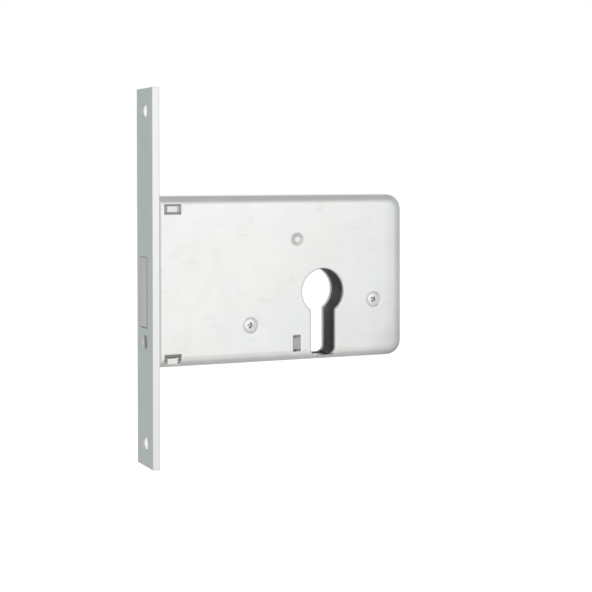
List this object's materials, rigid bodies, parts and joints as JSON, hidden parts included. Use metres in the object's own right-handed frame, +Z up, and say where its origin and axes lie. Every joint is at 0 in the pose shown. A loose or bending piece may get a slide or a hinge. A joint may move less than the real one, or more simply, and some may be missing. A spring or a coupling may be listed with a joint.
{
  "type": "mortice deadlock",
  "caption": "Narrow mortice deadlock: a sheet case with a sliding square bolt, a detainer lever, a long faceplate and a cut-out for a euro-profile cylinder.",
  "frame": {"origin": "on the axis of the cylinder, half way through the case's thickness", "axes": "+X from the faceplate into the door, +Y from the screwed cover to the riveted back plate, +Z up"},
  "size_m": [0.1052, 0.018, 0.14],
  "materials": {
    "case_zinc": "bright zinc plating on drawn sheet, faintly mottled",
    "faceplate_nickel": "satin nickel plating, brushed along its length",
    "bolt_nickel": "satin nickel plating",
    "block_steel": "zinc plated steel, bright on the ground ends of its tenons",
    "guide_steel": "sawn steel strip, left dull",
    "turned_steel": "turned steel",
    "screw_zinc": "zinc plated screw",
    "bright_steel": "stamped steel, bright",
    "spring_steel": "blued spring steel"
  },
  "bodies": {
    "lock_case": {"faceplate": "faceplate_nickel", "case_cover": "case_zinc", "back_plate": "case_zinc", "upper_front_block": "block_steel", "lower_front_block": "block_steel", "upper_face_rivet": "faceplate_nickel", "lower_face_rivet": "faceplate_nickel", "front_screw_post": "turned_steel", "rear_screw_post": "turned_steel", "front_cover_screw": "screw_zinc", "rear_cover_screw": "screw_zinc", "guide_stud": "turned_steel", "guide_spacer": "turned_steel", "cylinder_screw_guide": "guide_steel", "lever_pivot": "turned_steel", "lever_washer": "turned_steel"},
    "bolt": {"bolt_head": "bolt_nickel", "bolt_tail": "bright_steel", "bolt_rivets": "turned_steel", "bolt_stump": "turned_steel"},
    "lever": {"detainer_lever": "bright_steel", "lever_spring": "spring_steel"}
  },
  "joints": [
    {"name": "bolt_slide", "type": "slide", "parent": "lock_case", "child": "bolt", "axis": [-1, 0, 0], "range_m": [0, 0.02]},
    {"name": "lever_lift", "type": "hinge", "parent": "lock_case", "child": "lever", "pos_m": [0.02698, 0, 0.024], "axis": [0, 1, 0], "range_deg": [-5, 0], "stiffness_Nm_per_rad": 0.15, "springref_deg": -22.92}
  ]
}
